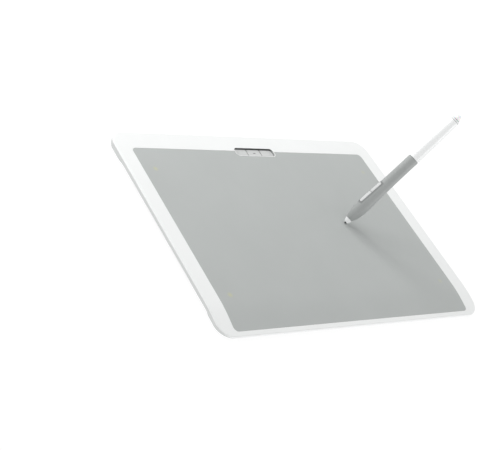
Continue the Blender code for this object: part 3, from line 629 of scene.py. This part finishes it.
POCKET = (RIM_INSET + FILLET_W + 2.6, 7.0, 2.6, 4.0)
rings = [cover_ring(90.0 - 90.0 * i / 18) for i in range(19)]
rings.append(even(RIM_INSET, lambda x, y: edge_height(y) - 0.12))
rings.append(even(RIM_INSET + 0.12, lambda x, y: edge_height(y)))
rings.append(loop(*POCKET, lambda x, y: edge_height(y), pocket_side))
deeper = tuple(d + 0.5 for d in POCKET[:3]) + (POCKET[3],)
rings.append(loop(*deeper, lambda x, y: FLOOR_Z, pocket_side))
back_cover = stacked("cover_shell", rings)
tools = [(prism("t_boss%d" % i, circle(x, y, 4.0), 1.5, 3.2), "UNION") for i, (x, y) in enumerate(SCREWS)]
for name, (fx, fy, w, d) in FOOT_POS.items():
    g = 0.25
    recess = []
    for grow, z in ((0.25, -1.0), (0.25, BELLY_Z), (0.0, BELLY_Z + 0.25), (0.0, FOOT_RECESS_Z)):
        recess.append(
            [(x, y, z) for x, y in rounded(fx - w / 2 - g - grow, fx + w / 2 + g + grow, fy - d / 2 - g - grow, fy + d / 2 + g + grow, FOOT_R + g + grow)]
        )
    tools.append((stacked("t_recess_" + name, recess), "DIFFERENCE"))
for i, (x, y) in enumerate(SCREWS):
    tools.append((prism("t_bore%d" % i, circle(x, y, 2.2), 0.0, 2.2), "DIFFERENCE"))
    tools.append((prism("t_hole%d" % i, circle(x, y, 1.3, 20), 2.0, 4.0), "DIFFERENCE"))
tools.append((stacked("t_port2", port_rings(PORT_W + 1.0, PORT_H + 1.0, ((0, 100.0), (0, 115.0), (0.9, 119.0)))), "DIFFERENCE"))
combine(back_cover, tools, COVER, 30.0)
place(back_cover, "tablet")
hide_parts("back_cover")

# --------------------------------------------------------------------- feet
for name, (fx, fy, w, d) in FOOT_POS.items():
    rings = []
    for inset, z in ((0.7, 0.0), (0.42, 0.03), (0.2, 0.1), (0.05, 0.24), (0.0, 0.45), (0.0, FOOT_T)):
        r = FOOT_R - inset
        rings.append([(x, y, z) for x, y in rounded(fx - w / 2 + inset, fx + w / 2 - inset, fy - d / 2 + inset, fy + d / 2 - inset, r)])
    foot = stacked("rubber_" + name, rings, FEET)
    place(foot, "tablet")
    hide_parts(name)


# ------------------------------------------------------------ drawing sheet
def sheet_outline(x, y0, y1, r, nx, ny, q, n=10):
    out = []
    for cx, cy, start in ((x - r, y1 - r, 0.0), (-x + r, y1 - r, 90.0), (-x + r, y0 + r, 180.0), (x - r, y0 + r, 270.0)):
        if start == 90.0:
            out.append((nx, y1))
            for i in range(n + 1):
                a = math.radians(-90.0 * i / n)
                out.append((nx - q + q * math.cos(a), ny + q + q * math.sin(a)))
            for i in range(n + 1):
                a = math.radians(270.0 - 90.0 * i / n)
                out.append((-nx + q + q * math.cos(a), ny + q + q * math.sin(a)))
            out.append((-nx, y1))
        for i in range(n + 1):
            a = math.radians(start + 90.0 * i / n)
            out.append((cx + r * math.cos(a), cy + r * math.sin(a)))
    return out


def sheet_ring(inset, z):
    g = 0.12 + inset
    q = KEY_R + KEY_RIM + g
    return [
        (x, y, z)
        for x, y in sheet_outline(OPEN_X - g, OPEN_FRONT + g, OPEN_REAR - g, OPEN_R - g, KEY_X + KEY_RIM + g, KEY_Y0 - KEY_RIM - g, q)
    ]


sheet_top = TOP_Z - SHEET_DROP
sheet = stacked("matt_sheet", [sheet_ring(0.0, sheet_top - SHEET_T), sheet_ring(0.0, sheet_top - 0.1), sheet_ring(0.04, sheet_top - 0.03), sheet_ring(0.12, sheet_top)])
bm = bmesh.new()
bm.from_mesh(sheet.data)
for i in range(25):
    y = BEND_START - BEND_LEN * i / 24
    bmesh.ops.bisect_plane(bm, geom=bm.verts[:] + bm.edges[:] + bm.faces[:], dist=1e-8, plane_co=(0, y * MM, 0), plane_no=(0, 1, 0))
for v in bm.verts:
    v.co.z -= drop(v.co.y / MM) * MM
bm.to_mesh(sheet.data)
bm.free()
finish_mesh(sheet, SHEET, 30.0)
place(sheet, "tablet")
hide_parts("drawing_surface")


# --------------------------------------------------------------------- keys
def key_outline(x0, x1, inset, left, right, n=8):
    r_out, r_in = KEY_R - inset, max(0.6 - (inset - 0.45), 0.15)
    y0, y1 = KEY_Y0 + inset, KEY_Y1 - inset
    out = []
    for cx, cy, start, outer in ((x1, y1, 0.0, right), (x0, y1, 90.0, left), (x0, y0, 180.0, left), (x1, y0, 270.0, right)):
        r = r_out if outer else r_in
        px, py = (cx - r if cx == x1 else cx + r), (cy - r if cy == y1 else cy + r)
        for i in range(n + 1):
            a = math.radians(start + 90.0 * i / n)
            out.append((px + r * math.cos(a), py + r * math.sin(a)))
    return out


def express_key(name, node, body, x0, x1, left, right, centre, dot=False):
    rings = []
    edge = [(0.45, KEY_TOP - 1.3), (0.45, KEY_TOP - 0.42)]
    edge += [(0.45 + 0.42 * (1 - math.cos(math.radians(a))), KEY_TOP - 0.42 + 0.42 * math.sin(math.radians(a)) - 0.03) for a in (15, 30, 45, 60, 75, 90)]
    for extra in (1.3, 2.1, 3.0, 3.9):
        edge.append((extra, KEY_TOP - 0.03 + 0.03 * (extra - 0.87) / 3.1))
    for inset, z in edge:
        more = inset - 0.45
        out = key_outline(x0 + more, x1 - more, inset, left, right)
        rings.append([(x, y, min(z, KEY_TOP)) for x, y in out])
    key = stacked(name, rings)
    post = prism(name + "_post", circle(centre, KEY_MID, 1.4, 20), 4.95, 5.8)
    tools = [(post, "UNION")]
    combine(key, tools, KEYS, 30.0)
    place(key, body)
    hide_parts(node)
    return key


express_key("key_cap_left", "express_key_left", "key_left", -KEY_X + 0.45, -KEY_SPLIT - KEY_SLIT / 2, True, False, -16.2)
express_key("key_cap_middle", "express_key_middle", "key_middle", -KEY_SPLIT + KEY_SLIT / 2, KEY_SPLIT - KEY_SLIT / 2, False, False, 0.0)
express_key("key_cap_right", "express_key_right", "key_right", KEY_SPLIT + KEY_SLIT / 2, KEY_X - 0.45, False, True, 16.2)

# The status light in the middle key: a short dark slot with a lens in it.
lens = stacked(
    "key_status_lens",
    [
        [(x, y, KEY_TOP - 0.10) for x, y in rounded(-1.65, 1.65, 95.25, 95.95, 0.34, 6)],
        [(x, y, KEY_TOP + 0.01) for x, y in rounded(-1.65, 1.65, 95.25, 95.95, 0.34, 6)],
        [(x, y, KEY_TOP + 0.02) for x, y in rounded(-1.58, 1.58, 95.32, 95.88, 0.27, 6)],
    ],
    BLACK,
)
place(lens, "key_middle")

# ---------------------------------------------------------------------- pen
PEN = Matrix.Translation(tip) @ Matrix((facing, across, axis)).transposed().to_4x4()
SEG = 72


def fillet(points, radii, steps=5):
    """Rounds the corners of a profile: radii gives a radius for each inner point, 0 to leave it."""
    out = [points[0]]
    for i in range(1, len(points) - 1):
        r = radii.get(i, 0.0)
        p0, p1, p2 = Vector(points[i - 1]), Vector(points[i]), Vector(points[i + 1])
        if r <= 0:
            out.append(tuple(p1))
            continue
        a, b = (p0 - p1).normalized(), (p2 - p1).normalized()
        s, e = p1 + a * r, p1 + b * r
        for k in range(steps + 1):
            t = k / steps
            q = s * (1 - t) ** 2 + p1 * 2 * t * (1 - t) + e * t * t
            out.append(tuple(q))
    out.append(points[-1])
    return out


def turned(name, profile, mat, ring=False, seg=SEG, angle=35.0):
    points, faces, rows = [], [], []
    for r, z in profile:
        if r <= 1e-6:
            rows.append([len(points)])
            points.append((0.0, 0.0, z))
        else:
            rows.append(list(range(len(points), len(points) + seg)))
            points += [(r * math.cos(2 * math.pi * i / seg), r * math.sin(2 * math.pi * i / seg), z) for i in range(seg)]
    pairs = list(zip(rows, rows[1:]))
    if ring:
        pairs.append((rows[-1], rows[0]))
    for a, b in pairs:
        for i in range(seg):
            j = (i + 1) % seg
            if len(a) == 1:
                faces.append((a[0], b[i], b[j]))
            elif len(b) == 1:
                faces.append((a[i], b[0], a[j]))
            else:
                faces.append((a[i], b[i], b[j], a[j]))
    return make(name, points, faces, mat, angle)


def on_pen(obj, body, node):
    obj.data.transform(PEN)
    place(obj, body)
    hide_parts(node)
    return obj


def curve_through(knots, count):
    """A smooth profile through knots, by Catmull-Rom."""
    pts = [knots[0]] + list(knots) + [knots[-1]]
    out = []
    for i in range(1, len(pts) - 2):
        p0, p1, p2, p3 = (Vector(p) for p in pts[i - 1 : i + 3])
        for k in range(count):
            t = k / count
            q = 0.5 * (2 * p1 + (p2 - p0) * t + (2 * p0 - 5 * p1 + 4 * p2 - p3) * t * t + (3 * p1 - p0 - 3 * p2 + p3) * t ** 3)
            out.append(tuple(q))
    out.append(tuple(knots[-1]))
    return out


nib = turned(
    "nib_tip",
    curve_through([(0.001, 0.0), (0.32, 0.1), (0.58, 0.4), (0.74, 0.9), (0.85, 1.8), (0.85, 3.0)], 4)[1:] + [(0.85, 21.3), (0.6, 21.5), (0.0, 21.5)],
    NIB,
    seg=40,
)
# Close the tip with a face across its small open end.
bm = bmesh.new()
bm.from_mesh(nib.data)
edges = [e for e in bm.edges if e.is_boundary]
bmesh.ops.contextual_create(bm, geom=edges)
bmesh.ops.recalc_face_normals(bm, faces=bm.faces)
bm.to_mesh(nib.data)
bm.free()
finish_mesh(nib, NIB)
on_pen(nib, "nib", "pen_nib")

cone = fillet(
    [(1.25, 8.2), (1.25, 1.5), (2.08, 1.5), (3.0, 3.8), (3.38, 5.75), (2.25, 5.9), (2.25, 8.2)],
    {1: 0.12, 2: 0.28, 3: 0.6, 4: 0.1},
)
on_pen(turned("nose_cone", cone, PEN_WHITE, ring=True), "pen", "pen_nose_cone")

GRIP_KNOTS = [
    (3.45, 6.0), (4.15, 7.5), (5.00, 9.6), (5.65, 12.0), (6.20, 15.0), (6.60, 18.5), (6.75, 22.5),
    (6.70, 27.0), (6.55, 32.0), (6.25, 43.0), (5.95, 53.0), (5.80, 64.0), (5.75, 76.0), (5.75, 88.9),
]
outer = curve_through(GRIP_KNOTS, 5)
outer[0] = (3.30, 5.98)
outer.insert(1, (3.44, 6.06))
outer += [(5.72, 89.08), (5.64, 89.17), (5.55, 89.2)]
inner = [(4.3, 89.2), (4.3, 22.6), (3.2, 22.0), (3.2, 9.4), (2.5, 8.7), (2.5, 5.98)]
grip = turned("grip_shell", outer + inner, None, ring=True)

BUTTON_HALF, BUTTON_Z, BUTTON_SPLIT, BUTTON_FALL = 2.3, (24.8, 51.5), 38.5, 0.028


def slot_rings(z0, z1, half, steps):
    out = []
    for grow, x in steps:
        h = half + grow
        out.append([(x, y, z) for z, y in rounded(z0 - grow, z1 + grow, -h, h, h - 0.05, 12)])
    return out


slot_tool = stacked("t_slot", slot_rings(BUTTON_Z[0] - 0.38, BUTTON_Z[1] + 0.38, BUTTON_HALF + 0.38, ((0, 2.9), (0, 9.0))))
combine(grip, [(slot_tool, "DIFFERENCE")], GRIP, 30.0)
on_pen(grip, "pen", "pen_grip")


def button(name, node, body, z0, z1, front):
    rings = []
    steps = [(3.5, 0.0), (6.28, 0.0)] + [
        (6.28 + 0.52 * math.sin(math.radians(a)), 0.75 * (1 - math.cos(math.radians(a)))) for a in (12, 24, 36, 48, 60, 72, 84)
    ]
    steps += [(6.83, 1.1), (6.87, 1.6), (6.88, 2.1)]
    for x, inset in steps:
        half = max(BUTTON_HALF - inset, 0.18)
        a0, a1 = z0 + inset * 0.8, z1 - inset * 0.8
        out = []
        for cz, cy, start, big in ((a1, half, 0.0, not front), (a0, half, 90.0, front), (a0, -half, 180.0, front), (a1, -half, 270.0, not front)):
            q = (half - 0.04) if big else min(0.35, half - 0.04)
            pz = cz - q if cz == a1 else cz + q
            py = cy - q if cy > 0 else cy + q
            for i in range(9):
                t = math.radians(start + 90.0 * i / 8)
                z = pz + q * math.cos(t)
                fall = BUTTON_FALL if x > 6.0 else 0.0
                out.append((x - fall * (z - BUTTON_Z[0]), py + q * math.sin(t), z))
        rings.append(out)
    on_pen(stacked(name, rings, BUTTONS, 40.0), body, node)


button("side_button_front", "pen_button_front", "button_front", BUTTON_Z[0], BUTTON_SPLIT - 0.12, True)
button("side_button_rear", "pen_button_rear", "button_rear", BUTTON_SPLIT + 0.12, BUTTON_Z[1], False)

barrel = curve_through([(5.66, 89.8), (5.66, 104.0), (5.58, 113.0), (5.38, 126.0), (5.10, 137.0), (4.98, 141.6)], 5)
barrel = [(3.95, 82.4), (3.95, 89.42), (5.52, 89.45), (5.62, 89.55)] + barrel
barrel += [(4.92, 141.82), (4.8, 141.9), (1.9, 141.9), (1.9, 139.4), (3.1, 138.9), (3.1, 82.4)]
on_pen(turned("rear_barrel", barrel, PEN_WHITE, ring=True), "pen", "pen_rear_barrel")
on_pen(
    turned("end_ring", [(1.9, 142.15), (4.72, 142.15), (4.86, 142.22), (4.9, 142.35), (4.78, 143.5), (4.72, 143.66), (4.58, 143.7), (1.9, 143.7)], RING, ring=True),
    "pen",
    "pen_end_ring",
)
cap = curve_through([(3.88, 144.56), (3.55, 145.2), (3.08, 146.0), (2.88, 147.4), (2.4, 148.65), (1.4, 149.33), (0.4, 149.49)], 5)
cap = [(0.0, 131.0), (1.5, 131.0), (1.5, 144.3), (3.72, 144.3), (3.84, 144.4)] + cap + [(0.0, 149.5)]
on_pen(turned("end_cap", cap, ERASER), "eraser", "pen_eraser")

# ------------------------------------- materials of the pieces kept from CAD
KEPT = {
    "support_plate": BLACK, "sensor_board": PCB, "shield_plate": FOIL, "main_board": PCB, "key_dome_mat": SILICONE,
    "shield_can": STEEL, "radio_module": BLACK, "battery": POUCH, "sensor_ribbon": FLEX, "usb_receptacle": STEEL,
    "case_screw_left": STEEL, "case_screw_right": STEEL, "pen_coil": COIL, "pen_pressure_sensor": STEEL,
    "pen_board": PCB, "pen_eraser_sensor": STEEL, "corner_light_front_left": GLOW, "corner_light_front_right": GLOW,
    "corner_light_rear_left": GLOW, "corner_light_rear_right": GLOW,
}
for node, mat in KEPT.items():
    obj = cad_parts[node]
    if not obj.material_slots:
        obj.data.materials.append(mat)
    for s in obj.material_slots:
        s.material = mat

# -------------------------------------------------------------------- stage
floor_nodes = Nodes("pale_floor")
floor_nodes.out("Base Color", floor_nodes.mix(floor_nodes.spread(floor_nodes.noise(3.0), 0.0, 1.0), (0.17, 0.17, 0.17), (0.19, 0.19, 0.19)))
floor_nodes.set(Roughness=0.9, Specular_IOR_Level=0.1, Emission_Color=(1, 1, 1, 1), Emission_Strength=0.87)
s = 6.0
floor = make("floor", [(-s, -s, 0), (s, -s, 0), (s, s, 0), (-s, s, 0)], [(0, 1, 2, 3)], floor_nodes.mat, unit=1.0)
floor.location.z = -0.0001

# --------------------------------------------------------------------- light
WORLD_LOW, WORLD_HIGH = 1.12, 0.54
world = bpy.data.worlds.new("studio")
bpy.context.scene.world = world
world.use_nodes = True
tree = world.node_tree
background = tree.nodes["Background"]
direction = tree.nodes.new("ShaderNodeTexCoord")
parts = tree.nodes.new("ShaderNodeSeparateXYZ")
tree.links.new(direction.outputs["Generated"], parts.inputs["Vector"])
# A white room that is brightest at the horizon and dimmer overhead.
ramp = tree.nodes.new("ShaderNodeMapRange")
ramp.inputs["From Min"].default_value = 0.0
ramp.inputs["From Max"].default_value = 1.0
ramp.inputs["To Min"].default_value = WORLD_LOW
ramp.inputs["To Max"].default_value = WORLD_HIGH
tree.links.new(parts.outputs["Z"], ramp.inputs["Value"])
background.inputs["Color"].default_value = (1, 1, 1, 1)
tree.links.new(ramp.outputs["Result"], background.inputs["Strength"])


def area(name, at, towards, size, power, size_y=None, spread=180.0):
    lamp = bpy.data.lights.new(name, "AREA")
    lamp.shape = "RECTANGLE" if size_y else "DISK"
    lamp.size = size
    if size_y:
        lamp.size_y = size_y
    lamp.energy = power
    lamp.spread = math.radians(spread)
    obj = bpy.data.objects.new(name, lamp)
    obj.location = at
    direction = Vector(towards) - Vector(at)
    obj.rotation_euler = direction.to_track_quat("-Z", "Y").to_euler()
    bpy.context.scene.collection.objects.link(obj)
    return obj


key_dir = Vector((0.118, 0.752, 0.649)).normalized()
area("key", key_dir * 1.0, (0.05, -0.02, 0.0), 0.27, 1.75)
area("softbox", (-0.26, 0.62, 0.54), (0.0, 0.0, 0.0), 0.7, 2.45)
area("fill", (0.62, -0.80, 0.15), (0.0, 0.0, 0.06), 0.5, 1.35, 0.24)

# -------------------------------------------------------------------- camera
CAM_AT = Vector((-0.7864, -0.56826, 0.62856))
RIGHT = Vector((0.75844434, -0.45481058, 0.46680778))
DOWN = Vector((-0.01499517, -0.72823882, -0.68515938))
AHEAD = Vector((0.65156528, 0.51265539, -0.55914858))
camera = bpy.data.cameras.new("camera")
camera.sensor_width = 36.0
camera.lens = 36.0 * 1245.3 / 500.0
camera.clip_end = 50.0
view = bpy.data.objects.new("camera", camera)
view.matrix_world = Matrix.Translation(CAM_AT) @ Matrix((RIGHT, -DOWN, -AHEAD)).transposed().to_4x4()
bpy.context.scene.collection.objects.link(view)
bpy.context.scene.camera = view

bpy.context.scene.view_settings.view_transform = "Standard"
bpy.context.scene.view_settings.look = "None"
